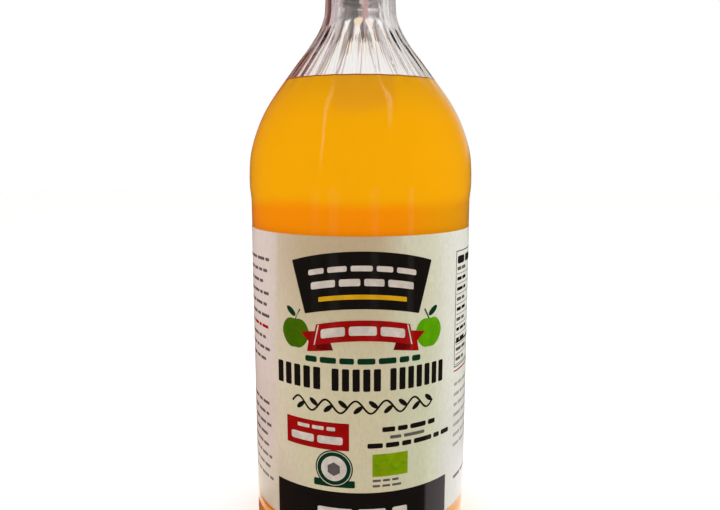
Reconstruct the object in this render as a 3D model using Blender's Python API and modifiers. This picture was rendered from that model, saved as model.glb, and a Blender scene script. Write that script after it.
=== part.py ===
"""A 946 ml glass vinegar bottle with a fluted shoulder, a wrap-round label and a screw cap.

The bottle stands on its base with the origin at the middle of the base, +Z up and its front facing -Y.
Sizes are in millimetres and become metres through MM.
"""

import math

import bmesh
import bpy
from mathutils import Matrix, Vector

MM = 0.001
FIT_GAP = 0.3  # between pieces that touch in the real bottle

# Body of the bottle
PANEL_RADIUS = 44.2  # the recessed band that carries the label
BULGE_RADIUS = 45.05  # the rings of glass that guard the label above and below
HEEL_RADIUS = 7.0
BEARING_RING_RADIUS = 33.0  # inner edge of the flat ring it stands on, which the heel's curve meets outside
PUNT = ((30.5, 1.2), (16.5, 2.9), (0.0, 3.6))  # radius and height of the hollow under the base
HEEL_BAND_TOP = 13.5
PANEL_BOTTOM = 15.5
PANEL_TOP = 139.5
WALL = 2.5
FLOOR = 4.2  # glass over the hollow
HEEL_FLOOR = 4.8  # glass over the ring
INNER_HEEL_RADIUS = 6.0

# Shoulder: height and outer radius at the places that a smooth curve passes through
SHOULDER = (
    (PANEL_TOP, PANEL_RADIUS),
    (146.5, BULGE_RADIUS),
    (156.5, 44.45),
    (164.5, 42.4),
    (172.5, 39.1),
    (180.0, 34.6),
    (190.0, 27.35),
    (199.5, 20.25),
    (205.5, 16.45),
    (211.0, 14.45),
    (216.0, 13.9),
)
SHOULDER_STEPS = 20

# Flutes pressed into the shoulder
FLUTES = 24
COLUMNS = 3 * FLUTES
FLUTE_DEPTH = 0.75
FLUTE_FADE_IN = (163.0, 174.0)  # heights between which they deepen
FLUTE_FADE_OUT = (201.5, 206.5)  # heights between which they end below the neck
FRONT_RIDGE_DEG = 10.5  # the first ridge to the right of the front, seen from above

# Neck and finish
NECK_RADIUS = 13.9
FINISH_RADIUS = 13.2
MOUTH_RADIUS = 10.3
COLLAR = (220.5, 222.0, 224.2, 225.4)  # foot, crest, crest and head of the transfer ring
COLLAR_RADIUS = 15.9
LOCK_BEAD = (227.6, 228.6, 229.6, 230.4)  # holds the tamper ring down
LOCK_BEAD_RADIUS = 14.2
LIP_TOP = 246.6
LIP_ROUND = 0.9
THREAD_PITCH = 4.0
THREAD_TURNS = 1.5
THREAD_START = 235.0
THREAD_POINTS_PER_TURN = 24
GLASS_THREAD_BEVEL = 0.9

# Vinegar
LEVEL = 186.2

# Label
LABEL_BOTTOM = 17.5
LABEL_TOP = 128.8
LABEL_THICKNESS = 0.25
LABEL_SEAM_GAP_DEG = 10.0  # bare glass at the back between the label's ends
LABEL_STEPS = 70

# Cap and tamper ring
CAP_TOP = 249.0
CAP_BOTTOM = 231.4
CAP_RADIUS = 16.9
CAP_INNER_RADIUS = 15.1
CAP_EDGE_ROUND = 1.2
CAP_RIBS = 36
CAP_RIB_DEPTH = 0.3
CAP_RIB_SPAN = (1.0, 2.4)  # plain rims left below and above the ribs
CAP_THREAD_BEVEL = 0.55
RING_BOTTOM = 226.3
RING_TOP = 230.9
RING_INNER_RADIUS = 14.75
RING_CHAMFER = 0.4
RING_COLUMNS = 48


def clear_scene():
    for old in list(bpy.data.objects):
        bpy.data.objects.remove(old)


def collection(name):
    made = bpy.data.collections.new(name)
    bpy.context.scene.collection.children.link(made)
    return made


def material(name, colour, roughness, metallic=0.0, transmission=0.0, ior=1.5):
    made = bpy.data.materials.new(name)
    made.use_nodes = True
    shader = made.node_tree.nodes["Principled BSDF"]
    shader.inputs["Base Color"].default_value = (*colour, 1.0)
    shader.inputs["Roughness"].default_value = roughness
    shader.inputs["Metallic"].default_value = metallic
    shader.inputs["Transmission Weight"].default_value = transmission
    shader.inputs["IOR"].default_value = ior
    return made


def arc(centre, radius, start_deg, end_deg, steps):
    """Points (radius, height) of an arc in the profile's plane, ends included."""
    points = []
    for i in range(steps + 1):
        angle = math.radians(start_deg + (end_deg - start_deg) * i / steps)
        points.append((centre[0] + radius * math.cos(angle), centre[1] + radius * math.sin(angle)))
    return points


def smoothstep(low, high, value):
    t = min(1.0, max(0.0, (value - low) / (high - low)))
    return t * t * (3 - 2 * t)


def curve_through(stations, steps):
    """A Catmull-Rom curve through (height, radius) stations, as (radius, height) points going up."""
    points = []
    spans = len(stations) - 1
    for i in range(steps + 1):
        place = spans * i / steps
        k = min(int(place), spans - 1)
        t = place - k
        p0 = Vector(stations[max(k - 1, 0)])
        p1 = Vector(stations[k])
        p2 = Vector(stations[k + 1])
        p3 = Vector(stations[min(k + 2, spans)])
        point = 0.5 * (2 * p1 + (p2 - p0) * t + (2 * p0 - 5 * p1 + 4 * p2 - p3) * t**2
                       + (3 * p1 - p0 - 3 * p2 + p3) * t**3)
        points.append((point.y, point.x))
    return points


def offset_inwards(points, distance):
    """The profile moved by distance along its normal, towards the axis, for points that go up."""
    moved = []
    for i, (radius, height) in enumerate(points):
        before = points[max(i - 1, 0)]
        after = points[min(i + 1, len(points) - 1)]
        along = Vector((after[0] - before[0], after[1] - before[1])).normalized()
        moved.append((radius - along.y * distance, height + along.x * distance))
    return moved


def radius_at(height, line):
    """Radius of a line of (radius, height) points going up, or None outside it."""
    for (low_r, low_z), (high_r, high_z) in zip(line, line[1:]):
        if low_z <= height <= high_z:
            return low_r + (high_r - low_r) * (height - low_z) / (high_z - low_z)
    return None


def outside_profile():
    """The bottle's outer line, from the lip down to the middle of the base."""
    line = [(FINISH_RADIUS - LIP_ROUND, LIP_TOP)]
    line += [(FINISH_RADIUS, LIP_TOP - LIP_ROUND)]
    line += [(FINISH_RADIUS, LOCK_BEAD[3]), (LOCK_BEAD_RADIUS, LOCK_BEAD[2])]
    line += [(LOCK_BEAD_RADIUS, LOCK_BEAD[1]), (FINISH_RADIUS, LOCK_BEAD[0])]
    line += [(FINISH_RADIUS, COLLAR[3]), (COLLAR_RADIUS, COLLAR[2])]
    line += [(COLLAR_RADIUS, COLLAR[1]), (NECK_RADIUS, COLLAR[0])]
    line += reversed(curve_through(SHOULDER, SHOULDER_STEPS))
    line += [(PANEL_RADIUS, PANEL_BOTTOM), (BULGE_RADIUS, HEEL_BAND_TOP)]
    heel_centre = (BULGE_RADIUS - HEEL_RADIUS, HEEL_RADIUS)
    line += arc(heel_centre, HEEL_RADIUS, 0, -90, 4)
    line += [(BEARING_RING_RADIUS, 0.0), *PUNT]
    return line


def inside_line():
    """The inner wall from the middle of the floor up to the neck, as (radius, height) points."""
    line = [(radius, height + FLOOR) for radius, height in reversed(PUNT[1:])]
    heel_centre = (PANEL_RADIUS - WALL - INNER_HEEL_RADIUS, HEEL_FLOOR + INNER_HEEL_RADIUS)
    line += arc(heel_centre, INNER_HEEL_RADIUS, -90, 0, 3)
    line += offset_inwards(curve_through(SHOULDER, SHOULDER_STEPS)[::2], WALL)
    return line


def turned(name, profile, steps, angle_deg=360.0):
    """An object whose mesh is a profile of (radius, height) points, turned round Z with a Screw."""
    mesh = bpy.data.meshes.new(name)
    points = [(radius * MM, 0.0, height * MM) for radius, height in profile]
    mesh.from_pydata(points, [(i, i + 1) for i in range(len(points) - 1)], [])
    made = bpy.data.objects.new(name, mesh)
    screw = made.modifiers.new("turn", "SCREW")
    screw.angle = math.radians(angle_deg)
    screw.steps = steps
    screw.render_steps = steps
    screw.use_merge_vertices = True
    screw.merge_threshold = 0.00001
    return made


def as_mesh(made, into, name):
    """A new mesh object with the evaluated shape of a modelled one, which is then removed."""
    into.objects.link(made)
    bpy.context.view_layer.update()
    graph = bpy.context.evaluated_depsgraph_get()
    mesh = bpy.data.meshes.new_from_object(made.evaluated_get(graph))
    place = made.matrix_world.copy()
    bpy.data.objects.remove(made)
    tidy = bmesh.new()
    tidy.from_mesh(mesh)
    bmesh.ops.remove_doubles(tidy, verts=tidy.verts, dist=0.00001)
    tidy.to_mesh(mesh)
    tidy.free()
    baked = bpy.data.objects.new(name, mesh)
    baked.matrix_world = place
    into.objects.link(baked)
    return baked


def thread(name, radius, bevel, start, into):
    """A round-backed screw thread: a helix with a bevel and filled caps, as a mesh."""
    curve = bpy.data.curves.new(name, "CURVE")
    curve.dimensions = "3D"
    curve.bevel_depth = bevel * MM
    curve.bevel_resolution = 1
    curve.use_fill_caps = True
    count = int(THREAD_POINTS_PER_TURN * THREAD_TURNS)
    spline = curve.splines.new("POLY")
    spline.points.add(count)
    for i in range(count + 1):
        turn = i / THREAD_POINTS_PER_TURN
        angle = 2 * math.pi * turn
        height = start + THREAD_PITCH * turn
        place = (radius * math.cos(angle) * MM, radius * math.sin(angle) * MM, height * MM)
        spline.points[i].co = (*place, 1.0)
    return as_mesh(bpy.data.objects.new(name, curve), into, name)


def join_thread(body, ridge):
    ridge.hide_render = True
    ridge.display_type = "WIRE"
    union = body.modifiers.new("thread", "BOOLEAN")
    union.operation = "UNION"
    union.solver = "EXACT"
    union.object = ridge


def press_flutes(bottle):
    """Moves the shoulder's outer points inwards between the ridges, then turns the ridges to their place."""
    flute_angle = 2 * math.pi / FLUTES
    shoulder = curve_through(SHOULDER, SHOULDER_STEPS)
    for vertex in bottle.data.vertices:
        radius = math.hypot(vertex.co.x, vertex.co.y) / MM
        height = vertex.co.z / MM
        plain = radius_at(height, shoulder)
        if plain is None or radius < plain - WALL / 2:
            continue
        across = (math.atan2(vertex.co.y, vertex.co.x) / flute_angle) % 1.0
        scallop = 1 - (2 * across - 1) ** 2
        fade = smoothstep(*FLUTE_FADE_IN, height) * (1 - smoothstep(*FLUTE_FADE_OUT, height))
        share = (radius - FLUTE_DEPTH * scallop * fade) / radius
        vertex.co.x *= share
        vertex.co.y *= share
    to_front_ridge = math.radians(FRONT_RIDGE_DEG - 90)
    bottle.data.transform(Matrix.Rotation(to_front_ridge, 4, "Z"))


def make_bottle(parts, helpers):
    profile = inside_line() + [(MOUTH_RADIUS, LIP_TOP - LIP_ROUND), (MOUTH_RADIUS + LIP_ROUND, LIP_TOP)]
    profile += outside_profile()
    bottle = as_mesh(turned("bottle_turned", profile, COLUMNS), parts, "bottle")
    press_flutes(bottle)
    ridge = thread("bottle_thread", FINISH_RADIUS, GLASS_THREAD_BEVEL, THREAD_START, helpers)
    join_thread(bottle, ridge)
    bottle.data.materials.append(material("clear_glass", (0.92, 0.96, 0.94), 0.02, transmission=1.0))
    return bottle


def make_vinegar(parts):
    """The drink, up to its level, a fitting gap inside the glass."""
    wall = offset_inwards(inside_line(), FIT_GAP)
    middle, below = wall[0], [point for point in wall[1:] if point[1] < LEVEL]
    profile = [(0.0, LEVEL), (radius_at(LEVEL, wall), LEVEL), *reversed(below), (0.0, middle[1])]
    vinegar = turned("vinegar", profile, COLUMNS // 2)
    parts.objects.link(vinegar)
    vinegar.data.materials.append(material("cloudy_vinegar", (0.88, 0.36, 0.01), 0.2, ior=1.34))
    return vinegar


def make_label(parts):
    """A sheet bent round the panel, open at the back, thickened outwards."""
    inner = PANEL_RADIUS + FIT_GAP
    span = 360.0 - LABEL_SEAM_GAP_DEG
    label = turned("label", [(inner, LABEL_TOP), (inner, LABEL_BOTTOM)], LABEL_STEPS, span)
    label.modifiers["turn"].use_merge_vertices = False
    to_seam = math.radians(90 + LABEL_SEAM_GAP_DEG / 2)
    label.data.transform(Matrix.Rotation(to_seam, 4, "Z"))
    paper = label.modifiers.new("paper", "SOLIDIFY")
    paper.thickness = LABEL_THICKNESS * MM
    paper.offset = 1.0
    parts.objects.link(label)
    label.data.materials.append(material("label_paper", (0.82, 0.80, 0.70), 0.4))
    return label


def make_cap(parts, helpers):
    underside = LIP_TOP + FIT_GAP
    profile = [(0.0, underside), (CAP_INNER_RADIUS, underside), (CAP_INNER_RADIUS, CAP_BOTTOM)]
    profile += [(CAP_RADIUS, CAP_BOTTOM), (CAP_RADIUS, CAP_BOTTOM + CAP_RIB_SPAN[0])]
    profile += [(CAP_RADIUS, CAP_TOP - CAP_RIB_SPAN[1])]
    rounded = (CAP_RADIUS - CAP_EDGE_ROUND, CAP_TOP - CAP_EDGE_ROUND)
    profile += arc(rounded, CAP_EDGE_ROUND, 0, 90, 3)
    profile += [(0.0, CAP_TOP)]
    cap = as_mesh(turned("cap_turned", profile[::-1], 2 * CAP_RIBS), parts, "cap")
    press_ribs(cap)
    clear_of_glass = THREAD_START + THREAD_PITCH / 2
    ridge = thread("cap_thread", CAP_INNER_RADIUS, CAP_THREAD_BEVEL, clear_of_glass, helpers)
    join_thread(cap, ridge)
    cap.data.materials.append(material("cap_plastic", (0.02, 0.02, 0.022), 0.35))
    return cap


def press_ribs(cap):
    """Moves every second column of the skirt inwards, which leaves upright grip ribs."""
    for vertex in cap.data.vertices:
        radius = math.hypot(vertex.co.x, vertex.co.y) / MM
        column = round(math.atan2(vertex.co.y, vertex.co.x) / (math.pi / CAP_RIBS))
        on_skirt = (CAP_BOTTOM + CAP_RIB_DEPTH < vertex.co.z / MM
                    < CAP_TOP - CAP_EDGE_ROUND - CAP_RIB_DEPTH)
        if column % 2 and on_skirt and radius > CAP_RADIUS - CAP_RIB_DEPTH:
            share = (radius - CAP_RIB_DEPTH) / radius
            vertex.co.x *= share
            vertex.co.y *= share


def make_tamper_ring(parts):
    profile = [(RING_INNER_RADIUS, RING_TOP), (RING_INNER_RADIUS, RING_BOTTOM)]
    profile += [(CAP_RADIUS - RING_CHAMFER, RING_BOTTOM), (CAP_RADIUS, RING_BOTTOM + RING_CHAMFER)]
    profile += [(CAP_RADIUS, RING_TOP)]
    ring = turned("tamper_ring", [*profile[::-1], profile[-1]], RING_COLUMNS)
    parts.objects.link(ring)
    ring.data.materials.append(material("ring_plastic", (0.02, 0.02, 0.022), 0.4))
    return ring


def shade_round(made, angle_deg=35.0):
    made.data.shade_smooth()
    made.data.set_sharp_from_angle(angle=math.radians(angle_deg))


def main():
    clear_scene()
    parts = collection("vinegar_bottle")
    helpers = collection("helpers")
    made = [
        make_bottle(parts, helpers),
        make_vinegar(parts),
        make_label(parts),
        make_cap(parts, helpers),
        make_tamper_ring(parts),
    ]
    for piece in made:
        if piece.data.polygons:
            shade_round(piece)


main()
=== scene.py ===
# Looks for a shut glass vinegar bottle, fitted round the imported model.
# The front of the label faces -Y. Sizes in the dictionaries are millimetres unless a note says otherwise.
import math
import random

import bmesh
import bpy
from mathutils import Matrix, Vector


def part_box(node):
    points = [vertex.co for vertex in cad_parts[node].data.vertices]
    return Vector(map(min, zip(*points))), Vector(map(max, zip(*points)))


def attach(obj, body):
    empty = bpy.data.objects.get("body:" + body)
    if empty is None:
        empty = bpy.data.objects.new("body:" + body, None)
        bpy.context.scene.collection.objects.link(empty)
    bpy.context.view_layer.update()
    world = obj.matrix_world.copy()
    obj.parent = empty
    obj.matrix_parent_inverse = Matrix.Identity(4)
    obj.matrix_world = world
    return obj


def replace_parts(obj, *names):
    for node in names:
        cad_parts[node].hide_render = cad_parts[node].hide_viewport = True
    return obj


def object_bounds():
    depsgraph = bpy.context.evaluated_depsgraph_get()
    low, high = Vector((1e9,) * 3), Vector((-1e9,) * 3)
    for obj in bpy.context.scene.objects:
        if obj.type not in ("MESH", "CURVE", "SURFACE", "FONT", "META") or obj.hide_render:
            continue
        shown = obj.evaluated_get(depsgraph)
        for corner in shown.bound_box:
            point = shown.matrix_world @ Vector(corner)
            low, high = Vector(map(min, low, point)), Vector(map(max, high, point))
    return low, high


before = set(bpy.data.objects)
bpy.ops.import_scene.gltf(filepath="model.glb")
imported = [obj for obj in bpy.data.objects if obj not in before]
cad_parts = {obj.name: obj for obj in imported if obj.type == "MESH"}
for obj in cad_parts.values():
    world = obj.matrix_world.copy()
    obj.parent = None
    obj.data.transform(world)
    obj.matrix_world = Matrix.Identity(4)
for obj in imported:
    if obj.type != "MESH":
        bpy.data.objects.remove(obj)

cadLow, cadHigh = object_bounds()
mm = 0.001
widest = cadHigh.x / mm  # outer radius of the rings of glass that guard the label
labelLow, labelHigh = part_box("label")
capLow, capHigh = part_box("cap")
ringLow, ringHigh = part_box("tamper_ring")
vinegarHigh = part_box("vinegar")[1]
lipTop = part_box("bottle")[1].z / mm


# Shader maths


class Socket:
    def __init__(self, look, plug):
        self.look = look
        self.plug = plug

    def maths(self, operation, first, second=0.0):
        return self.look.node("ShaderNodeMath", {"operation": operation}, {0: first, 1: second})[0]

    def __add__(self, other):
        return self.maths("ADD", self, other)

    def __radd__(self, other):
        return self.maths("ADD", other, self)

    def __sub__(self, other):
        return self.maths("SUBTRACT", self, other)

    def __rsub__(self, other):
        return self.maths("SUBTRACT", other, self)

    def __mul__(self, other):
        return self.maths("MULTIPLY", self, other)

    def __rmul__(self, other):
        return self.maths("MULTIPLY", other, self)

    def __truediv__(self, other):
        return self.maths("DIVIDE", self, other)

    def __abs__(self):
        return self.maths("ABSOLUTE", self)

    def between(self, low, high):  # 0 below low, 1 above high, smooth in the middle
        sockets = {"Value": self, "From Min": low, "From Max": high}
        return self.look.node("ShaderNodeMapRange", {"interpolation_type": "SMOOTHSTEP"}, sockets)[0]


class Nodes:
    def __init__(self, tree):
        self.tree = tree

    def node(self, kind, settings, inputs):
        made = self.tree.nodes.new(kind)
        for name, value in settings.items():
            if name == "stops":
                self.setStops(made.color_ramp, value)
            else:
                setattr(made, name, value)
        for name, value in inputs.items():
            self.fill(made.inputs[name], value)
        return {key: Socket(self, plug) for key, plug in self.named(made.outputs)}

    def named(self, plugs):
        for index, plug in enumerate(plugs):
            yield index, plug
            if plug.enabled:
                yield plug.name, plug

    def fill(self, plug, value):
        if isinstance(value, Socket):
            self.tree.links.new(value.plug, plug)
        else:
            plug.default_value = value

    def setStops(self, ramp, stops):
        while len(ramp.elements) < len(stops):
            ramp.elements.new(0.5)
        for element, (position, colour) in zip(ramp.elements, stops):
            element.position = position
            element.color = colour

    def mix(self, factor, first, second):
        sockets = {"Factor": factor, 6: first, 7: second}
        return self.node("ShaderNodeMix", {"data_type": "RGBA"}, sockets)[2]

    def split(self, vector):
        made = self.node("ShaderNodeSeparateXYZ", {}, {0: vector})
        return made["X"], made["Y"], made["Z"]


class Look(Nodes):
    def __init__(self, name, **fixed):
        self.material = bpy.data.materials.new(name)
        self.material.use_nodes = True
        super().__init__(self.material.node_tree)
        self.shader = self.tree.nodes["Principled BSDF"]
        for label, value in fixed.items():
            self.shader.inputs[label.replace("_", " ")].default_value = value
        self.place = self.node("ShaderNodeTexCoord", {}, {})["Object"]

    def noise(self, scale, detail=3.0, roughness=0.5, stretch=(1, 1, 1)):
        at = self.place
        if stretch != (1, 1, 1):
            at = self.node("ShaderNodeMapping", {}, {"Vector": self.place, "Scale": stretch})[0]
        sockets = {"Vector": at, "Scale": scale, "Detail": detail, "Roughness": roughness}
        return self.node("ShaderNodeTexNoise", {}, sockets)["Fac"]

    def bump(self, height, depth, strength=1.0):
        sockets = {"Height": height, "Distance": depth * mm, "Strength": strength}
        self.feed("Normal", self.node("ShaderNodeBump", {}, sockets)[0])

    def feed(self, label, value):
        self.fill(self.shader.inputs[label], value)


def linear(red, green, blue):  # a colour as seen on screen, 0 to 255, as the light that a shader needs
    tones = [part / 255 for part in (red, green, blue)]
    return (*(tone / 12.92 if tone <= 0.04045 else ((tone + 0.055) / 1.055) ** 2.4 for tone in tones), 1.0)


# Meshes


def smoothLine(stations, steps):
    # a smooth curve through (height, radius) stations, as (radius, height) points going up
    spans = len(stations) - 1
    line = []
    for i in range(steps + 1):
        at = spans * i / steps
        k = min(int(at), spans - 1)
        t = at - k
        p0, p1, p2, p3 = (Vector(stations[max(0, min(spans, k + j))]) for j in (-1, 0, 1, 2))
        bend = (2 * p0 - 5 * p1 + 4 * p2 - p3) * t**2 + (3 * p1 - p0 - 3 * p2 + p3) * t**3
        point = (2 * p1 + (p2 - p0) * t + bend) / 2
        line.append((point.y, point.x))
    return line


def inwards(line, distance):
    # the line moved by a distance towards the axis, square to itself, for points going up
    moved = []
    for i, (radius, height) in enumerate(line):
        before, after = line[max(i - 1, 0)], line[min(i + 1, len(line) - 1)]
        along = Vector((after[0] - before[0], after[1] - before[1])).normalized()
        moved.append((radius - along.y * distance, height + along.x * distance))
    return moved


def turned(outline, steps, turn=360.0, closed=False):
    # spins (radius, height) points round Z; a point with a third value is rounded by that much first
    bm = bmesh.new()
    corners = [bm.verts.new((point[0] * mm, 0, point[1] * mm)) for point in outline]
    pairs = list(zip(corners, corners[1:]))
    if closed:
        pairs.append((corners[-1], corners[0]))
    for pair in pairs:
        bm.edges.new(pair)
    for corner, point in zip(corners, outline):
        if len(point) > 2:
            roundOff(bm, [corner], point[2] * mm)
    # a wedge and its copies are much quicker than one spin
    wedges = math.gcd(steps, 24) if turn == 360.0 else 1
    bmesh.ops.spin(bm, geom=bm.verts[:] + bm.edges[:], cent=(0, 0, 0), axis=(0, 0, 1),
                   angle=math.radians(turn / wedges), steps=steps // wedges)
    if wedges > 1:
        bmesh.ops.spin(bm, geom=bm.verts[:] + bm.edges[:] + bm.faces[:], cent=(0, 0, 0), axis=(0, 0, 1),
                       angle=2 * math.pi * (wedges - 1) / wedges, steps=wedges - 1, use_duplicate=True)
    else:
        bmesh.ops.holes_fill(bm, edges=[edge for edge in bm.edges if edge.is_boundary])
    bmesh.ops.remove_doubles(bm, verts=bm.verts, dist=0.0001 * mm)
    bmesh.ops.recalc_face_normals(bm, faces=bm.faces)
    return bm


def roundOff(bm, corners, amount, segments=4):
    bmesh.ops.bevel(bm, geom=corners, offset=amount, offset_type="OFFSET", affect="VERTICES",
                    segments=segments, profile=0.5, material=-1)


def finishPiece(bm, name, look, sharp=None):
    mesh = bpy.data.meshes.new(name)
    bm.to_mesh(mesh)
    bm.free()
    mesh.materials.append(look.material)
    mesh.shade_smooth()
    if sharp:
        mesh.set_sharp_from_angle(angle=math.radians(sharp))
    piece = bpy.data.objects.new(name, mesh)
    bpy.context.scene.collection.objects.link(piece)
    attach(piece, "root")
    return piece


# Glass

glass = {
    "tint": (0.984, 0.984, 0.981, 1),
    "waves": (55, 0.25, 0.1),  # of the surface: scale, depth and strength
    "smears": (140, 0.035),  # scale, and the roughness that they add
    "panelRadius": 44.5,
    "wall": 2.5,
    "shoulder": ((139.5, 44.5), (146.5, 45.05), (156.5, 44.45), (164.5, 42.4),  # height and radius
                 (172.5, 39.1), (180.0, 34.6), (190.0, 27.35), (199.5, 20.25),
                 (205.5, 16.45), (211.0, 14.45), (216.0, 13.95), (221.0, 13.85)),
    "shoulderSteps": 98,
    "panelBottom": 15.5,
    "panelCorner": 0.3,
    "panelEnds": (17.5, 138.5),  # rows that keep the straight wall straight
    "heelBandTop": 13.5,
    "heelBandRadius": 44.65,
    "heelBandCorner": 0.8,
    "heelRadius": 7.0,
    "heelSteps": 14,
    "innerHeelRadius": 6.0,
    "innerHeelSteps": 10,
    "bearingRing": 33.0,
    "bearingCorner": 0.8,
    "punt": ((30.5, 1.2), (16.5, 2.9), (0.0, 3.6)),
    "puntCorner": 1.5,
    "floor": 4.2,  # thickness over the punt
    "heelFloor": 4.8,  # height of the inside at the heel
    "columns": 384,
    "flutes": 24,
    "fluteDepth": 0.55,
    "fluteBottom": (177.0, 189.0),
    "fluteTop": (197.5, 208.0),
    "fluteFlat": 0.35,  # how much of its cross curve a flute keeps where it starts
    "frontRidgeDeg": 12.0,
    "stippleCount": 96,
    "stippleDepth": 0.25,
    "neckRadius": 13.85,
    "neckFoot": 0.8,  # rounding under the collar
    "finishRadius": 13.2,
    "mouthRadius": 10.3,
    "lipCorner": 0.9,
    "collar": (221.9, 222.9, 224.4, 225.4),
    "collarRadius": 15.9,
    "collarCorner": 0.7,
    "lockBead": (227.6, 228.6, 229.6, 230.4),
    "lockBeadRadius": 14.2,
    "beadCorner": 0.4,
    "threadStart": 235.0,
    "threadPitch": 4.0,
    "threadTurns": 1.5,
    "threadRound": 0.9,
    "threadSteps": 48,  # in one turn
}


def arcLine(centre, radius, start, end, steps):
    line = []
    for i in range(steps + 1):
        angle = math.radians(start + (end - start) * i / steps)
        line.append((centre[0] + radius * math.cos(angle), centre[1] + radius * math.sin(angle)))
    return line


def insideLine():
    # the inner wall, from the middle of the floor up into the neck
    g = glass
    line = [(radius, height + g["floor"]) for radius, height in reversed(g["punt"][1:])]
    heelCentre = (g["panelRadius"] - g["wall"] - g["innerHeelRadius"], g["heelFloor"] + g["innerHeelRadius"])
    line += arcLine(heelCentre, g["innerHeelRadius"], -90, 0, g["innerHeelSteps"])
    line += [(g["panelRadius"] - g["wall"], height) for height in g["panelEnds"]]
    line += inwards(smoothLine(g["shoulder"], g["shoulderSteps"] // 2), g["wall"])
    return line


def outsideLine():
    # the outer wall, from the lip down to the middle of the base
    g = glass
    foot, crestLow, crestHigh, head = g["collar"]
    beadFoot, beadLow, beadHigh, beadTop = g["lockBead"]
    line = [(g["finishRadius"], lipTop, g["lipCorner"]), (g["finishRadius"], beadTop)]
    line += [(g["lockBeadRadius"], height, g["beadCorner"]) for height in (beadHigh, beadLow)]
    line += [(g["finishRadius"], height, g["beadCorner"]) for height in (beadFoot, head)]
    line += [(g["collarRadius"], height, g["collarCorner"]) for height in (crestHigh, crestLow)]
    line += [(g["neckRadius"], foot, g["neckFoot"])]
    shoulder = reversed(smoothLine(g["shoulder"], g["shoulderSteps"]))
    line += [(min(radius, widest), height) for radius, height in shoulder]
    line += [(g["panelRadius"], height) for height in reversed(g["panelEnds"])]
    line += [(g["panelRadius"], g["panelBottom"], g["panelCorner"])]
    line += [(g["heelBandRadius"], g["heelBandTop"], g["heelBandCorner"])]
    heelCentre = (g["heelBandRadius"] - g["heelRadius"], g["heelRadius"])
    line += arcLine(heelCentre, g["heelRadius"], 0, -90, g["heelSteps"])
    line += [(g["bearingRing"], 0.0, g["bearingCorner"]), (*g["punt"][0], g["puntCorner"]), *g["punt"][1:]]
    return line


def radiusAt(height, line):
    return next(low[0] + (high[0] - low[0]) * (height - low[1]) / (high[1] - low[1])
                for low, high in zip(line, line[1:]) if low[1] <= height <= high[1])


def smoothstep(low, high, value):
    t = min(1.0, max(0.0, (value - low) / (high - low)))
    return t * t * (3 - 2 * t)


def pressFlutes(bm):
    # scoops 24 flutes into the shoulder, each ending in a round arch below the neck
    g = glass
    pitch = 2 * math.pi / g["flutes"]
    ridge = math.radians(g["frontRidgeDeg"] - 90)
    outer = smoothLine(g["shoulder"], g["shoulderSteps"])
    for vert in bm.verts:
        radius, height = vert.co.xy.length / mm, vert.co.z / mm
        if not g["fluteBottom"][0] < height < g["fluteTop"][1]:
            continue
        if radius < radiusAt(height, outer) - g["wall"] / 2:
            continue
        across = ((math.atan2(vert.co.y, vert.co.x) - ridge) / pitch) % 1.0
        grown = smoothstep(*g["fluteBottom"], height) * (1 - smoothstep(*g["fluteTop"], height))
        curve = g["fluteFlat"] + (1 - g["fluteFlat"]) * grown
        depth = max(0.0, grown - (2 * across - 1) ** 2 * curve) * g["fluteDepth"]
        vert.co.xy *= (radius - depth) / radius


def pressStipples(bm):
    # fine radial ribs under the ring that the bottle stands on
    g = glass
    outermost = g["heelBandRadius"] - g["heelRadius"] + 1
    for vert in bm.verts:
        radius = vert.co.xy.length / mm
        if vert.co.z > 0.3 * mm or not g["bearingRing"] <= radius <= outermost:
            continue
        wave = 0.5 + 0.5 * math.cos(g["stippleCount"] * math.atan2(vert.co.y, vert.co.x))
        vert.co.z += g["stippleDepth"] * wave * mm


def glassLook():
    look = Look("clearGlass", Base_Color=glass["tint"], IOR=1.5, Transmission_Weight=1.0)
    scale, depth, strength = glass["waves"]
    look.bump(look.noise(scale, 2.0, stretch=(1, 1, 0.35)), depth, strength)
    scale, roughness = glass["smears"]
    look.feed("Roughness", look.noise(scale, 4.0).between(0.45, 0.9) * roughness)
    return look


def makeGlass():
    g = glass
    rim = [(g["mouthRadius"], lipTop - 3), (g["mouthRadius"], lipTop, g["lipCorner"])]
    bm = turned(insideLine() + rim + outsideLine(), g["columns"])
    pressFlutes(bm)
    pressStipples(bm)
    look = glassLook()
    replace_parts(finishPiece(bm, "glassBottle", look, 50), "bottle")
    thread = bmesh.new()
    start = Matrix.Translation((g["finishRadius"] * mm, 0, g["threadStart"] * mm))
    section = start @ Matrix.Rotation(math.pi / 2, 4, "X")
    bmesh.ops.create_circle(thread, segments=10, radius=g["threadRound"] * mm, matrix=section)
    rise = g["threadPitch"] * mm / g["threadSteps"]
    bmesh.ops.spin(thread, geom=thread.verts[:] + thread.edges[:], cent=(0, 0, 0), axis=(0, 0, 1),
                   dvec=(0, 0, rise), angle=2 * math.pi * g["threadTurns"],
                   steps=int(g["threadSteps"] * g["threadTurns"]))
    bmesh.ops.holes_fill(thread, edges=[edge for edge in thread.edges if edge.is_boundary])
    bmesh.ops.recalc_face_normals(thread, faces=thread.faces)
    finishPiece(thread, "neckThread", look, 50)


makeGlass()
print("glass made")


# Vinegar

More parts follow.
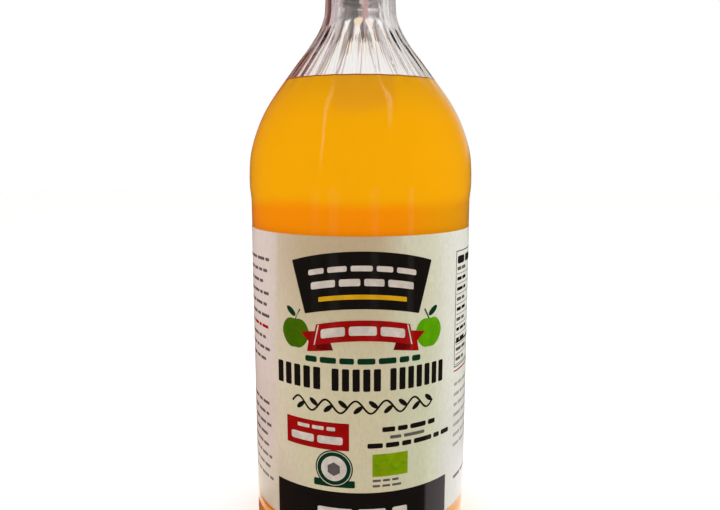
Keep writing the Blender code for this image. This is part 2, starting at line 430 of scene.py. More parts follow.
vinegar = {
    "intoWall": 0.15,  # so that no air shows between it and the glass
    "settled": 0.9,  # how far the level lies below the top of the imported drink
    "meniscus": (1.1, 2.2),  # how far it creeps up the wall, and over what width
    "glow": 0.42,  # painted glow, standing in for light that comes through from behind
    # tones, and the heights or places across where each comes in
    "upper": (236, 172, 0),
    "lower": (237, 145, 0),
    "lowest": (212, 126, 0),
    "topShade": (217, 159, 16),
    "rightShade": (221, 156, 2),
    # painted shade: a darker patch high on the front of the drink
    "shadePatch": (212, 150, 34),
    # painted shade along the level of the drink
    "meniscusShade": (140, 72, 44),
    "lowerRange": (60, 136),
    "upperRange": (136.5, 142.5),
    "topShadeRange": (166, 186),
    "rightRange": (9, 32),
    "shadePatchRange": (169, 176),
    "shadePatchEdge": (9.5, 12.5),
    "meniscusShadeRange": (-0.65, -0.4),  # from the level
}
drinkLevel = vinegarHigh.z / mm - vinegar["settled"]


def vinegarLook():
    v = vinegar
    look = Look("cloudyVinegar", Roughness=0.6, IOR=1.34, Specular_IOR_Level=0.0, Emission_Strength=v["glow"])
    across, depth, height = (part / mm for part in look.split(look.place))
    cloud = look.noise(38, 3.0, stretch=(1, 1, 0.6)) - 0.5
    low = (height + cloud * 12).between(*v["lowerRange"])
    shade = look.mix(low, linear(*v["lowest"]), linear(*v["lower"]))
    right = (across + cloud * 14).between(*v["rightRange"])
    shade = look.mix(right * 0.9, shade, linear(*v["rightShade"]))
    shade = look.mix((height + cloud * 5).between(*v["upperRange"]), shade, linear(*v["upper"]))
    top = (height + cloud * 10).between(*v["topShadeRange"])
    shade = look.mix(top * 0.7, shade, linear(*v["topShade"]))
    # painted shade: a darker patch high on the front of the drink
    middle = (1 - abs(across + cloud * 2 - 1).between(*v["shadePatchEdge"])) * (0.0 - depth).between(5, 25)
    shadePatch = middle * (height + cloud * 12).between(*v["shadePatchRange"])
    shade = look.mix(shadePatch * 0.5, shade, linear(*v["shadePatch"]))
    # painted shade: a dark line just under the level of the drink
    line = (height + cloud * 0.8 - drinkLevel).between(*v["meniscusShadeRange"])
    shade = look.mix(line * 0.85, shade, linear(*v["meniscusShade"]))
    look.feed("Base Color", shade)
    # painted glow: the drink gives off light in its own tones
    look.feed("Emission Color", shade)
    return look


def makeVinegar():
    wall = inwards(insideLine(), -vinegar["intoWall"])
    rise, width = vinegar["meniscus"]
    edge = radiusAt(drinkLevel, wall)
    flat = drinkLevel - rise
    top = [(0.0, flat)]
    top += [(edge - width * (1 - i / 8), flat + rise * (i / 8) ** 2.2) for i in range(9)]
    below = [point for point in wall[1:] if point[1] < drinkLevel - 0.2]
    outline = top + list(reversed(below)) + [(0.0, wall[0][1])]
    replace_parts(finishPiece(turned(outline, 192), "vinegarFill", vinegarLook(), 50), "vinegar")


makeVinegar()
print("vinegar made")


# Label

label = {
    "inner": 44.52,
    "thickness": 0.12,
    "seamGapDeg": 10.0,
    "bendStep": 1.25,  # longest straight stretch of print round the bottle
    "ink": 0.03,
    "layer": 0.02,  # how much higher each further ink lies
    "paper": (224, 217, 184),
    # painted shade and painted light: the paper darker at the top and low on the left, lighter to the right
    "shadedTopPaper": (203, 181, 147),
    "litTopRightPaper": (227, 226, 204),
    "litLowRightPaper": (216, 220, 190),
    "leftFieldWithShade": ((220, 201, 192), (228, 214, 207)),  # low and high on the label: a printed field, with painted shade darker low down
    "rightFieldWithShade": ((224, 226, 222), (236, 237, 228)),
    "shadedLowLeftPaper": (207, 192, 173),
    "backPaper": (233, 228, 219),
    "fibre": (150, 140, 120),
    "stain": (196, 176, 140),
    # heights where a tone comes in
    "topShadeRange": (70, 126),
    "leftRise": (40, 115),
    "rightRise": (30, 75),
    "lowLeftRise": (24, 50),
    # the same as lengths round the label from its middle
    "topRight": (4, 20),
    "lowRight": (6, 20),
    "lowLeft": (16, 34),
    "leftField": (-42.0, -40.4, -37.0, -18.0),
    "leftLean": 0.05,  # how far the left field's edge moves in for each millimetre up
    "rightField": (24.0, 42.0),
    "backField": (60, 100),
}
paperRadius = label["inner"] + label["thickness"]


def labelLook(name):
    # a soft gloss over slow waves, for the paper and what is printed on it
    look = Look(name, Specular_IOR_Level=0.0, Coat_Weight=0.6, Coat_Roughness=0.05)
    look.bump(look.noise(110, 2.0, stretch=(1, 1, 0.3)), 0.05)
    return look


def paperLook():
    p = label
    look = labelLook("labelPaper")
    fibres = look.noise(900, 4.0, 0.6, stretch=(1, 1, 0.5))
    mottle = look.noise(60, 3.0)
    x, y, z = look.split(look.place)
    around = x.maths("ARCTAN2", x, 0.0 - y) * paperRadius
    height = z / mm
    # the side fields are print; their darker lower parts are painted shade
    leftFieldShaded = look.mix(height.between(*p["leftRise"]), *(linear(*tone) for tone in p["leftFieldWithShade"]))
    rightFieldShaded = look.mix(height.between(*p["rightRise"]), *(linear(*tone) for tone in p["rightFieldWithShade"]))
    # painted shade darker towards the top, painted light lighter towards the right
    topShadeAndLight = look.mix(around.between(*p["topRight"]), linear(*p["shadedTopPaper"]), linear(*p["litTopRightPaper"]))
    paperAndLowLight = look.mix(around.between(*p["lowRight"]), linear(*p["paper"]), linear(*p["litLowRightPaper"]))
    tone = look.mix(height.between(*p["topShadeRange"]) * 0.85, paperAndLowLight, topShadeAndLight)
    far, edge, inner, near = p["leftField"]
    leaning = around - (height - 30) * p["leftLean"]
    tone = look.mix(leaning.between(edge, inner) * 0.5 + around.between(far, near) * 0.5, leftFieldShaded, tone)
    # painted shade: darker low on the left
    lowLeft = (0.0 - around).between(*p["lowLeft"]) * (1 - height.between(*p["lowLeftRise"]))
    tone = look.mix(lowLeft * 0.9, tone, linear(*p["shadedLowLeftPaper"]))
    tone = look.mix(around.between(*p["rightField"]), tone, rightFieldShaded)
    tone = look.mix(abs(around).between(*p["backField"]), tone, linear(*p["backPaper"]))
    tone = look.mix(fibres.between(0.35, 0.7) * 0.12, tone, linear(*p["fibre"]))
    look.feed("Base Color", look.mix(mottle.between(0.3, 0.8) * 0.08, tone, linear(*p["stain"])))
    look.feed("Roughness", 0.44 + fibres * 0.12)
    return look


def makePaper():
    gap = label["seamGapDeg"]
    bottom, top = labelLow.z / mm, labelHigh.z / mm
    outline = [(label["inner"], bottom), (paperRadius, bottom), (paperRadius, top), (label["inner"], top)]
    bm = turned(outline, 350, 360 - gap, closed=True)
    turnToBack = Matrix.Rotation(math.radians(90 + gap / 2), 4, "Z")
    bmesh.ops.transform(bm, matrix=turnToBack, verts=bm.verts)
    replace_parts(finishPiece(bm, "labelPaper", paperLook(), 40), "label")


makePaper()


def inkLook(name, colour):
    look = labelLook(name)
    tone = look.noise(260, 4.0, 0.6).between(0.3, 0.75)
    deep = linear(*(part * 0.88 for part in colour))
    look.feed("Base Color", look.mix(tone, deep, linear(*colour)))
    look.feed("Roughness", 0.4 + tone * 0.08)
    return look


class Plate:
    # the flat shapes printed in one ink: x runs round the label from its middle, y up from the base
    def __init__(self, name, colour):
        self.name = name
        self.look = inkLook(name, colour)
        self.whole = bmesh.new()
        self.flat = bmesh.new()

    def bar(self, left, right, bottom, top, corner=0.0):
        middle = Matrix.Translation(((left + right) / 2, (bottom + top) / 2, 0))
        size = Matrix.Diagonal((right - left, top - bottom, 1, 1))
        made = bmesh.ops.create_grid(self.flat, x_segments=1, y_segments=1, size=0.5, matrix=middle @ size)
        if corner:
            roundOff(self.flat, made["verts"], corner)
        return self

    def disc(self, across, height, radius, segments=40, squash=1.0, tilt=0.0):
        place = Matrix.Translation((across, height, 0)) @ Matrix.Rotation(math.radians(tilt), 4, "Z")
        bmesh.ops.create_circle(self.flat, cap_ends=True, segments=segments, radius=radius,
                                matrix=place @ Matrix.Diagonal((1, squash, 1, 1)))
        return self

    def outline(self, points, corner=0.0):
        corners = [self.flat.verts.new((across, height, 0)) for across, height in points]
        self.flat.faces.new(corners)
        if corner:
            roundOff(self.flat, corners, corner)
        return self

    def keyline(self, left, right, bottom, top, width):
        # a closed line: the border of an inset rectangle, its middle left out
        before = set(self.flat.faces)
        self.bar(left, right, bottom, top)
        middle = [face for face in self.flat.faces if face not in before]
        bmesh.ops.inset_region(self.flat, faces=middle, thickness=width,
                               use_boundary=True, use_even_offset=True)
        bmesh.ops.delete(self.flat, geom=middle, context="FACES_ONLY")
        return self

    def press(self, layer, arch=None):
        # thickens what was drawn, arches it, bends it round the label and adds it to the plate
        flat, step = self.flat, label["bendStep"]
        thick = 2 * label["ink"] + layer * label["layer"]
        bmesh.ops.recalc_face_normals(flat, faces=flat.faces)
        for face in flat.faces:
            if face.normal.z < 0:
                face.normal_flip()
        bmesh.ops.solidify(flat, geom=flat.faces[:], thickness=-thick)
        first = math.ceil(min(vert.co.x for vert in flat.verts) / step)
        last = math.floor(max(vert.co.x for vert in flat.verts) / step)
        for i in range(first, last + 1):
            bmesh.ops.bisect_plane(flat, geom=flat.verts[:] + flat.edges[:] + flat.faces[:], dist=0.001,
                                   plane_co=(i * step, 0, 0), plane_no=(1, 0, 0))
        bmesh.ops.triangulate(flat, faces=flat.faces)
        for vert in flat.verts:
            across, height, lift = vert.co
            if arch:
                middle, half, rise = arch
                height += rise * (1 - ((across - middle) / half) ** 2)
            angle = across / paperRadius
            radius = (paperRadius - label["ink"] + lift) * mm
            vert.co = (radius * math.sin(angle), -radius * math.cos(angle), height * mm)
        mesh = bpy.data.meshes.new("pressed")
        flat.to_mesh(mesh)
        self.whole.from_mesh(mesh)
        bpy.data.meshes.remove(mesh)
        flat.clear()
        return self

    def finish(self):
        bmesh.ops.recalc_face_normals(self.whole, faces=self.whole.faces)
        self.flat.free()
        finishPiece(self.whole, self.name, self.look, 30)


def words(plate, left, right, middle, height, seed, gap=1.1, shortest=3.0, longest=9.0):
    # a row of small print as plain bars of word length
    draw = random.Random(seed)
    at = left
    while at < right - shortest:
        end = min(right, at + draw.uniform(shortest, longest))
        plate.bar(at, end, middle - height / 2, middle + height / 2, height * 0.3)
        at = end + gap


black = Plate("printBlack", (24, 19, 16))
red = Plate("printRed", (172, 10, 8))
darkRed = Plate("printDarkRed", (112, 4, 6))
darkGreen = Plate("printDarkGreen", (10, 56, 32))
# a darker copy of the apple green: painted shade on the left apple
green = Plate("printShadedAppleGreen", (70, 111, 0))
brightGreen = Plate("printBrightGreen", (98, 178, 0))
lime = Plate("printLime", (138, 171, 2))
gold = Plate("printGold", (240, 184, 24))
cream = Plate("printCream", (232, 222, 212))
grey = Plate("printGrey", (104, 96, 98))
paleGrey = Plate("printPaleGrey", (186, 184, 180))

plaque = {
    "middle": 0.6,
    "headHalf": 26.9,  # half its width at the top
    "footHalf": 21.5,
    "bottom": 98.7,
    "top": 119.4,
    "corner": 0.3,
    "rise": 4.2,  # of its arch
    # height and size of a row, and where its words meet
    "rows": ((113.4, 2.0, (-20.0, -12.6, -4.2, 5.0, 12.4, 21.4)),
             (108.4, 2.6, (-19.0, -8.4, 0.6, 9.2, 20.4))),
    "halfGap": 0.7,
    "rule": (-15.4, 17.0, 102.3, 104.0),
}


def makePlaque():
    # a dark arched panel, with plain bars where words would stand
    p = plaque
    middle = p["middle"]
    arch = (middle, p["headHalf"], p["rise"])
    points = [(middle - p["footHalf"], p["bottom"]), (middle + p["footHalf"], p["bottom"]),
              (middle + p["headHalf"], p["top"]), (middle - p["headHalf"], p["top"])]
    black.outline(points, p["corner"]).press(0, arch)
    for height, tall, ends in p["rows"]:
        for left, right in zip(ends, ends[1:]):
            cream.bar(left + p["halfGap"], right - p["halfGap"], height - tall / 2, height + tall / 2, 0.6)
    cream.press(1, arch)
    gold.bar(*p["rule"], 0.2).press(1, arch)


makePlaque()

ribbon = {
    "middle": 1.0,
    "half": 18.0,
    "bottom": 88.8,
    "top": 96.4,
    "rise": 2.4,
    "tail": 5.9,
    "tailHeights": (86.2, 90.1, 93.3),  # foot, notch and head
    "words": ((-14.6, -5.6), (-4.2, 5.8), (7.2, 16.4)),
}


def makeRibbon():
    # an arched band with a folded, swallow-tailed end on each side
    r = ribbon
    arch = (r["middle"], r["half"], r["rise"])
    low, notch, high = r["tailHeights"]
    band = []
    for side in (-1, 1):
        end = r["middle"] + side * r["half"]
        tip = end + side * r["tail"]
        tail = [(end - side * 7.0, low + 1.3), (tip - side * 2.7, low), (tip - side * 3.4, notch),
                (tip, high), (end - side * 1.5, high + 1.0)]
        red.outline(tail[::side]).press(2)
        fold = [(end - side * 7.0, low + 1.3), (end - side * 0.6, low + 1.2),
                (end - side * 0.6, r["bottom"] + 0.8), (end - side * 6.0, r["bottom"] + 1.6)]
        darkRed.outline(fold[::side])
        band += [(end + side * 1.2, r["bottom"]), (end - side * 0.6, r["top"])][::side]
    darkRed.press(3)
    red.outline(band).press(4, arch)
    for side in (-1, 1):
        foot = r["middle"] + side * (r["half"] + 0.2)
        head = foot - side * 1.7
        line = [(foot - 0.25, r["bottom"] + 0.3), (foot + 0.25, r["bottom"] + 0.3),
                (head + 0.25, r["top"] - 0.3), (head - 0.25, r["top"] - 0.3)]
        cream.outline(line)
    for left, right in r["words"]:
        cream.bar(left, right, r["bottom"] + 2.1, r["top"] - 2.1, 0.8)
    cream.press(5, arch)


makeRibbon()

apples = {
    "left": -25.4,
    "right": 26.9,
    "height": 92.6,
    "size": 6.0,
    "leaf": (1.7, 7.9, 2.5),  # how far out and up it lies, and half its length
    "stalk": (4.8, 9.1),  # how far up it starts and ends
}


def appleOutline(across, height, size):
    # a round fruit with a dip at the stalk and a smaller one below
    points = []
    for i in range(48):
        turn = 2 * math.pi * i / 48
        top = max(0.0, math.sin(turn)) ** 12 * 0.16
        bottom = max(0.0, -math.sin(turn)) ** 16 * 0.1
        radius = size * (1 - top - bottom)
        narrow = 1 - 0.13 * max(0.0, -math.sin(turn))
        points.append((across + radius * math.cos(turn) * narrow, height + radius * math.sin(turn) * 1.02))
    return points


def makeApples():
    a = apples
    outwards, upwards, long = a["leaf"]
    foot, head = (a["height"] + part for part in a["stalk"])
    # the two apples are one print; the left one's darker green is painted shade
    for plate, across, side in ((green, a["left"], -1), (brightGreen, a["right"], 1)):
        plate.outline(appleOutline(across, a["height"], a["size"])).press(1)
        darkGreen.disc(across + side * outwards, a["height"] + upwards, long, 24, 0.44, side * 40)
        darkGreen.outline([(across - 0.3, foot), (across + 0.3, foot),
                           (across - side * 2.0, head), (across - side * 2.5, head - 0.3)])
    darkGreen.press(1)


makeApples()

title = {
    "bottom": 72.3,
    "top": 80.7,
    "groups": ((-34.4, 5, 4.15), (-10.6, 5, 3.85), (10.9, 7, 3.52)),  # start, number of bars and pitch
    "thick": 0.68,  # share of the pitch that a bar takes
}


def makeTitle():
    # tall bars as dense as a heading, in three groups
    t = title
    for start, count, pitch in t["groups"]:
        for i in range(count):
            at = start + i * pitch
            black.bar(at, at + pitch * t["thick"], t["bottom"], t["top"], 0.5)
    black.press(0)
    words(darkGreen, -21.0, 23.0, 83.6, 2.2, 3, 1.2, 3.5, 8.5)
    darkGreen.press(0)


makeTitle()

vine = {"left": -27.0, "right": 29.0, "middle": 66.3, "swing": 2.4, "waves": 5, "pen": 0.75}


def makeVine():
    # a plain scrolling line with a leaf at each bend
    v = vine
    steps = v["waves"] * 16
    length = v["right"] - v["left"]
    upper, lower = [], []
    for i in range(steps + 1):
        turn = 2 * math.pi * v["waves"] * i / steps
        across = v["left"] + length * i / steps
        height = v["middle"] + v["swing"] * math.sin(turn)
        slope = v["swing"] * math.cos(turn) * 2 * math.pi * v["waves"] / length
        away = Vector((-slope, 1)).normalized() * v["pen"] / 2
        upper.append((across + away.x, height + away.y))
        lower.append((across - away.x, height - away.y))
    black.outline(lower + upper[::-1])
    for i in range(2 * v["waves"]):
        across = v["left"] + length * (i + 0.5) / (2 * v["waves"])
        side = 1 if i % 2 == 0 else -1
        black.disc(across + 0.9, v["middle"] - side * 1.0, 2.1, 20, 0.44, side * 40)
    black.press(0)


makeVine()

tags = {
    "box": (-30.0, -4.2, 49.4, 60.0),
    "boxWords": ((-24.8, -19.6), (-18.5, -13.8), (-12.7, -9.4)),
    "bigBoxWords": ((-27.8, -17.8), (-16.4, -6.6)),
    "seal": (-10.0, 42.2),
    "sealBand": (34.9, 37.7),
    "square": (4.4, 18.1, 39.3, 48.1),
}


def makeTags():
    # a red box, a round seal on a band, a green square with a row of dots, and small print beside them
    t = tags
    red.bar(*t["box"], 0.3).press(0)
    for left, right in t["boxWords"]:
        cream.bar(left, right, 56.8, 58.2, 0.4)
    for left, right in t["bigBoxWords"]:
        cream.bar(left, right, 51.6, 54.6, 0.8)
    cream.press(1)
    words(black, 8.0, 31.5, 57.5, 1.9, 7)
    words(grey, 11.0, 28.0, 54.4, 1.2, 8)
    words(black, 2.5, 38.8, 51.4, 1.9, 9)
    black.press(0)
    across, height = t["seal"]
    darkGreen.disc(across, height, 7.2, 48).bar(across - 7.9, across + 7.9, *t["sealBand"], 0.5).press(0)
    cream.disc(across, height, 6.7).press(1)
    darkGreen.disc(across, height, 6.4).press(2)
    cream.disc(across, height, 4.9).press(3)
    grey.disc(across, height - 0.2, 2.7, 6).press(4)
    lime.bar(*t["square"], 0.2).press(0)
    for i in range(9):
        brightGreen.disc(6.3 + i * 1.25, 43.7 + 2.2 * math.sin(i * 0.8), 0.5, 16)
    brightGreen.press(1)
    words(grey, 4.5, 14.5, 37.7, 0.9, 10, 0.8, 1.8, 4.0)
    words(grey, 4.5, 15.5, 35.6, 0.9, 11, 0.8, 1.8, 4.0)
    grey.press(0)


makeTags()

basePanel = {"left": -35.5, "right": 37.5, "top": 33.0, "words": ((-16.5, -3.0), (-1.0, 9.5), (12.0, 18.0))}


def makeBasePanel():
    p = basePanel
    black.bar(p["left"], p["right"], labelLow.z / mm + 0.4, p["top"]).press(0)
    for left, right in p["words"]:
        cream.bar(left, right, 20.6, 26.6, 0.8)
    cream.press(1)


makeBasePanel()

sides = {
    "left": (-70.0, -39.2),
    "leftTop": 118.0,
    "leftBlank": (64, 76),  # heights with no rows
    "redRow": 6,
    "rowPitch": 4.4,
    "table": (42.5, 74.0, 75.0, 121.0),
    "tableInside": (43.4, 73.0),
    "tableTop": 112.0,
    "tablePitch": 4.0,
    "greyRows": (0, 3, 5, 8, 9),
    "thickRule": (84.6, 85.4),
    "redRule": (73.2, 73.8),
    "paleTop": 68.0,
    "palePitch": 4.2,
    "fine": (0.9, 2.2, 7.0),  # gap between words, the shortest and the longest
}


def makeSides():
    # rows of small print to the left, a ruled table and rows below it to the right, more rows behind
    s = sides
    left, right = s["left"]
    for i in range(21):
        height = s["leftTop"] - i * s["rowPitch"]
        if s["leftBlank"][0] < height < s["leftBlank"][1]:
            continue
        ink = red if i == s["redRow"] else grey
        words(ink, left, right - (i * 7 % 5) * 0.8, height, 1.2, 20 + i, *s["fine"])
        ink.press(0)
    black.keyline(*s["table"], 0.35)
    for i in range(10):
        height = s["tableTop"] - i * s["tablePitch"]
        black.bar(*s["tableInside"], height - 0.1, height + 0.1)
        words(grey if i in s["greyRows"] else black, 43.8, 55.0, height + 2.0, 1.3, 60 + i, 0.8, 2.5, 6.0)
        words(grey, 66.0, 73.0, height + 2.0, 1.3, 80 + i, 0.8, 2.0, 4.0)
    black.bar(*s["tableInside"], *s["thickRule"])
    words(black, 43.8, 66.0, 117.4, 3.0, 59, 1.2, 6.0, 10.0)
    black.press(0)
    red.bar(*s["table"][:2], *s["redRule"]).press(0)
    for i in range(7):
        words(paleGrey, 43.0, 72.0, s["paleTop"] - i * s["palePitch"], 1.3, 100 + i, *s["fine"])
    paleGrey.press(0)
    words(grey, 44.0, 68.0, 28.9, 1.3, 110, *s["fine"])
    for i in range(9):
        down = i * s["rowPitch"]
        words(grey, 82.0, 118.0 - (i * 5 % 4) * 2.5, 112.0 - down, 1.5, 120 + i, *s["fine"])
        words(grey, -118.0, -84.0 - (i * 3 % 4) * 2.5, 92.0 - down, 1.5, 140 + i, *s["fine"])
    grey.press(0)


makeSides()
for plate in (black, red, darkRed, darkGreen, green, brightGreen, lime, gold, cream, grey, paleGrey):
    plate.finish()
print("label printed")


# Cap and tamper ring

cap = {
    "ribs": 36,
    "ribDepth": 0.3,
    "ribBottom": 232.4,
    "ribTop": 246.4,
    "ribEnds": 0.8,  # over what height a rib grows
    "inner": 15.1,
    "innerCorner": 0.5,
    "lowCorner": 0.3,
    "topCorner": 1.2,
    "topStep": (2.6, 3.2, 0.35),  # where it starts and ends from the edge, and its depth
    "topStepCorner": 0.2,
    "colour": (24, 24, 26),
}
tamperRing = {
    "inner": 14.75,
    "corner": 0.25,
    "lowCorner": 0.45,
    "groove": (1.6, 1.8, 2.1, 2.3),  # heights from its lower edge
    "grooveDepth": 0.2,
    "bridges": 12,
    "bridgeSize": (0.8, 1.3),
}


def plasticLook(name, colour):
    look = Look(name, IOR=1.46)
    grain = look.noise(700, 4.0, 0.6)
    deep = linear(*(part * 0.8 for part in colour))
    look.feed("Base Color", look.mix(grain, deep, linear(*(part * 1.15 for part in colour))))
    look.feed("Roughness", 0.3 + grain * 0.14)
    look.bump(grain, 0.03)
    return look


def makeCap():
    c = cap
    outer, bottom, top = capHigh.x / mm, capLow.z / mm, capHigh.z / mm
    underside = lipTop + 0.3
    outline = [(0.0, underside), (c["inner"], underside, c["innerCorner"])]
    outline += [(c["inner"], bottom, c["lowCorner"]), (outer, bottom, c["lowCorner"])]
    span = c["ribTop"] - c["ribBottom"]
    outline += [(outer, c["ribBottom"] + span * i / 24) for i in range(25)]
    start, end, depth = c["topStep"]
    outline += [(outer, top, c["topCorner"]), (outer - start, top, c["topStepCorner"])]
    outline += [(outer - end, top - depth, c["topStepCorner"]), (0.0, top - depth)]
    bm = turned(outline, c["ribs"] * 10)
    for vert in bm.verts:
        radius, height = vert.co.xy.length / mm, vert.co.z / mm
        if radius < outer - 0.2 or not c["ribBottom"] - 0.01 < height < c["ribTop"] + 0.01:
            continue
        wave = 0.5 - 0.5 * math.cos(c["ribs"] * math.atan2(vert.co.y, vert.co.x))
        ends = smoothstep(c["ribBottom"], c["ribBottom"] + c["ribEnds"], height)
        ends *= 1 - smoothstep(c["ribTop"] - c["ribEnds"], c["ribTop"], height)
        vert.co.xy *= (radius - c["ribDepth"] * ends * wave**0.7) / radius
    look = plasticLook("capPlastic", c["colour"])
    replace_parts(finishPiece(bm, "screwCap", look, 40), "cap")


def makeTamperRing():
    # a ring with a groove round it, held to the cap by small bridges
    r = tamperRing
    outer, bottom, top = ringHigh.x / mm, ringLow.z / mm, ringHigh.z / mm
    deep = outer - r["grooveDepth"]
    outline = [(r["inner"], bottom, r["corner"]), (outer, bottom, r["lowCorner"])]
    outline += [(radius, bottom + up) for radius, up in zip((outer, deep, deep, outer), r["groove"])]
    outline += [(outer, top, r["corner"]), (r["inner"], top, r["corner"])]
    look = plasticLook("ringPlastic", cap["colour"])
    bm = turned(outline, 180, closed=True)
    gap = capLow.z / mm - top
    thick, wide = r["bridgeSize"]
    for i in range(r["bridges"]):
        turn = Matrix.Rotation(2 * math.pi * (i + 0.5) / r["bridges"], 4, "Z")
        place = turn @ Matrix.Translation(((outer - 0.7) * mm, 0, (top + gap / 2) * mm))
        size = Matrix.Diagonal((thick * mm, wide * mm, (gap + 0.3) * mm, 1))
        bmesh.ops.create_cube(bm, size=1.0, matrix=place @ size)
    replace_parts(finishPiece(bm, "tamperRing", look, 40), "tamper_ring")


makeCap()
makeTamperRing()
print("cap made")


# Floor, light and camera

studio = {
    "floorRadius": 3.0,  # metres
    "floorColour": (0.9, 0.9, 0.9, 1),
    "floorGlow": 0.35,
    # degrees from the front and up, distance and size in metres, brightness, colour
    "lights": {"leftLight": ((-105, 28), 1.2, (0.8, 1.0), 1.1, (1.0, 0.93, 0.98)),
               "rightLight": ((100, 28), 1.2, (0.8, 1.0), 1.4, (0.94, 1.0, 0.96))},
    "sideSky": (0.98, 0.98, 0.98, 1),
    "frontSky": (0.3, 0.22, 0.15, 1),
    "insideSky": (0.9, 0.87, 0.84, 1),
    "shine": (0.06, 0.06, 0.06, 1),
    "leftShine": (0.13, 0.05, 0.045, 1),
    "leftFlank": (0.42, 0.25, 0.235, 1),
    "rightFlank": (0.68, 0.65, 0.63, 1),
    "leftRim": (0.3, 0.07, 0.06, 1),
    "rightRim": (0.6, 0.58, 0.55, 1),
    "leftGlow": (1.35, 1.3, 1.2, 1),
    "rightGlow": (1.5, 1.35, 1.35, 1),
    # the dim band low behind the bottle, darkest to palest
    "dim": ((0.4, (0.09, 0.07, 0.065, 1)), (0.5, (0.2, 0.145, 0.14, 1)),
            (0.58, (0.42, 0.33, 0.32, 1)), (0.67, (0.78, 0.7, 0.69, 1))),
    # things in that band, seen through the clear neck: across, up, width and height as directions, and tone
    "props": ((-0.045, 0.217, 0.055, 0.05, (0.07, 0.06, 0.055, 1)),
              (0.018, 0.192, 0.022, 0.014, (0.1, 0.075, 0.075, 1)),
              (-0.08, 0.188, 0.03, 0.018, (0.16, 0.12, 0.11, 1)),
              (0.09, 0.216, 0.03, 0.026, (0.25, 0.23, 0.24, 1)),
              (0.026, 0.216, 0.024, 0.05, (0.5, 0.3, 0.28, 1)),
              (0.008, 0.168, 0.045, 0.015, (0.95, 0.72, 0.52, 1))),
    # long glows: degrees from the front, how many more at a height of 0.8 and how fast they come,
    # half width, brightness, and the heights between which each comes and goes
    "streaks": ((-40.0, -15.4, 4.5, 1.9, 1.5, (0.0, 0.4, 0.9, 0.97)),
                (34.0, 12.0, 7.0, 2.4, 1.6, (0.55, 0.88, 0.96, 0.99)),
                (-46.0, 0.0, 1.0, 5.0, 0.2, (-0.34, -0.27, -0.1, -0.05)),
                (-27.0, 0.0, 1.0, 5.5, 0.3, (-0.34, -0.27, -0.1, -0.05)),
                (14.0, 0.0, 1.0, 4.5, 0.3, (-0.34, -0.27, -0.1, -0.05)),
                (52.0, 0.0, 1.0, 3.5, 0.4, (-0.34, -0.27, -0.1, -0.05))),
    "streakSpread": 1.5,  # share of its width that a glow gains at a height of 0.8
    "cameraDistance": 268.8,
    "cameraHeight": 156.6,
    "cameraAside": -0.2,
    "cameraDown": 8.68,
    "lens": 32.4,
}


def makeFloor():
    s = studio
    bm = bmesh.new()
    bmesh.ops.create_circle(bm, cap_ends=True, segments=96, radius=s["floorRadius"])
    mesh = bpy.data.meshes.new("floor")
    bm.to_mesh(mesh)
    bm.free()
    look = Look("paleFloor", Roughness=0.8, Base_Color=s["floorColour"],
                Emission_Color=s["floorColour"], Emission_Strength=s["floorGlow"])
    mesh.materials.append(look.material)
    floor = bpy.data.objects.new("floor", mesh)
    floor.visible_glossy = False
    bpy.context.scene.collection.objects.link(floor)


def softbox(name, direction, distance, size, brightness, colour):
    azimuth, elevation = (math.radians(part) for part in direction)
    level, up = distance * math.cos(elevation), distance * math.sin(elevation)
    middle = Vector((0, 0, 0.13))
    at = middle + Vector((level * math.sin(azimuth), -level * math.cos(azimuth), up))
    lamp = bpy.data.lights.new(name, "AREA")
    lamp.shape = "RECTANGLE"
    lamp.size, lamp.size_y = size
    lamp.energy = brightness * math.pi * size[0] * size[1]
    lamp.color = colour
    box = bpy.data.objects.new(name, lamp)
    box.location = at
    box.rotation_euler = (middle - at).to_track_quat("-Z", "Y").to_euler()
    box.visible_glossy = False
    bpy.context.scene.collection.objects.link(box)


def seenThroughGlass(sky, way, turn):
    # a pale room, dim low behind the bottle and to its sides, with dark and pale things in the dim part
    s = studio
    x, y, z = sky.split(way)
    noise = {"Vector": way, "Scale": 24.0, "Detail": 3.0, "Roughness": 0.6}
    patches = sky.node("ShaderNodeTexNoise", {}, noise)["Fac"]
    dim = sky.node("ShaderNodeValToRGB", {"stops": s["dim"]}, {0: patches})[0]
    seen = sky.mix((0.0 - y).between(0.0, 0.85), s["sideSky"], s["insideSky"])
    beside = y.between(0.3, 0.6) * z.between(-0.05, 0.05) * 0.75
    away = x + patches * 0.1 - 0.05
    seen = sky.mix(beside * away.between(0.11, 0.28), seen, s["rightFlank"])
    seen = sky.mix(beside * (0.0 - away).between(0.09, 0.22), seen, s["leftFlank"])
    seen = sky.mix(beside * (0.0 - away).between(0.3, 0.5), seen, s["leftRim"])
    high = (z + patches * 0.05).between(0.2, 0.225) * (1 - z.between(0.28, 0.42))
    seen = sky.mix(high * (1 - abs(away).between(0.12, 0.24) * 0.6), seen, dim)
    for across, up, width, tall, tone in s["props"]:
        out = (x - across) / width
        over = (z - up) / tall
        edge = (out * out + over * over + patches * 2.4).between(1.5, 2.6)
        seen = sky.mix((1 - edge) * y.between(0.3, 0.6), seen, tone)
    west = (0.0 - turn).between(80, 100) * (1 - (0.0 - turn).between(140, 160)) * z.between(-0.1, 0.1)
    return sky.mix(west * (1 - z.between(0.5, 0.7)), seen, s["leftShine"])


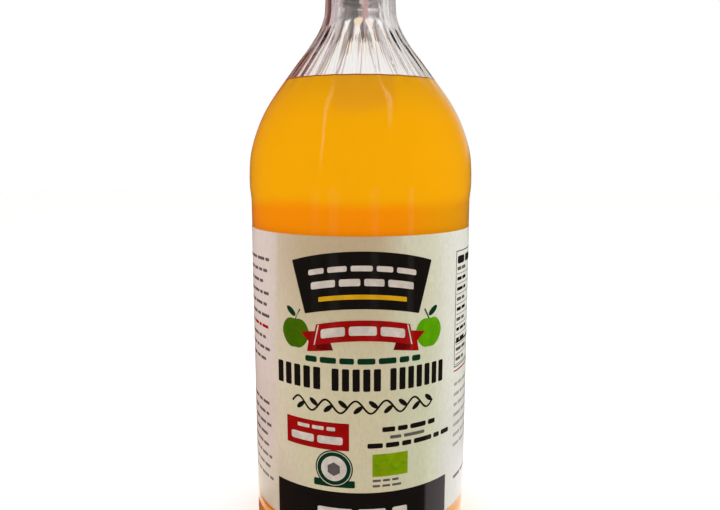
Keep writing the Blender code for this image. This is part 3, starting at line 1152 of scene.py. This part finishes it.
def seenInReflections(sky, way, turn):
    # dark but for glows along both edges of the bottle and a few long streaks
    s = studio
    z = sky.split(way)[2]
    heelEdge = (0.0 - turn).between(95, 115) * (1 - z.between(-0.49, -0.468))
    low = (1 - z.between(-0.47, -0.38)) * (1 - heelEdge)
    shine = sky.mix((0.0 - turn).between(60, 100), s["shine"], s["leftShine"])
    shine = sky.mix(turn.between(125, 160) * z.between(0.0, 0.12), shine, s["rightRim"])
    shine = sky.mix((0.0 - turn).between(110, 150) * z.between(0.0, 0.12), shine, s["leftRim"])
    shine = sky.mix((0.0 - turn).between(97, 107) * low, shine, s["leftGlow"])
    shine = sky.mix(turn.between(71, 76) * low, shine, s["rightGlow"])
    noise = {"Vector": way, "Scale": 22.0, "Detail": 2.0}
    broken = sky.node("ShaderNodeTexNoise", {}, noise)["Fac"].between(0.42, 0.56)
    for start, swing, growth, width, level, ends in s["streaks"]:
        steep = z.maths("POWER", abs(z) / 0.8, growth)
        off = abs(turn - start - steep * swing) / (1 + steep * s["streakSpread"])
        line = (1 - off.between(width * 0.4, width)) * z.between(*ends[:2]) * (1 - z.between(*ends[2:]))
        line = line * (0.45 + broken * 0.55)
        shine = sky.mix(line, shine, (level, level, level, 1))
    return shine


def makeWorld():
    # white to the eye and soft on every surface
    s = studio
    world = bpy.data.worlds.new("studio")
    world.use_nodes = True
    sky = Nodes(world.node_tree)
    ray = sky.node("ShaderNodeLightPath", {}, {})
    way = sky.node("ShaderNodeTexCoord", {}, {})["Generated"]
    x, y = sky.split(way)[:2]
    turn = x.maths("ARCTAN2", x, 0.0 - y) * math.degrees(1)  # 0 at the front, growing to the right
    soft = sky.mix((0.0 - y).between(0.0, 0.85), s["sideSky"], s["frontSky"])
    shade = sky.mix(ray["Is Glossy Ray"], soft, seenThroughGlass(sky, way, turn))
    mirrored = ray["Is Glossy Ray"] * ray["Is Reflection Ray"]
    shade = sky.mix(mirrored, shade, seenInReflections(sky, way, turn))
    shade = sky.mix(ray["Is Camera Ray"], shade, (1, 1, 1, 1))
    sky.fill(world.node_tree.nodes["Background"].inputs["Color"], shade)
    bpy.context.scene.world = world
    bpy.context.scene.view_settings.view_transform = "Standard"


def makeCamera():
    s = studio
    made = bpy.data.cameras.new("camera")
    made.lens = s["lens"]
    made.sensor_width = 36
    made.clip_start = 0.01
    camera = bpy.data.objects.new("camera", made)
    camera.location = (s["cameraAside"] * mm, -s["cameraDistance"] * mm, s["cameraHeight"] * mm)
    camera.rotation_euler = (math.radians(90 - s["cameraDown"]), 0, 0)
    bpy.context.scene.collection.objects.link(camera)
    bpy.context.scene.camera = camera


makeFloor()
for name, values in studio["lights"].items():
    softbox(name, *values)
makeWorld()
makeCamera()
print("studio ready")
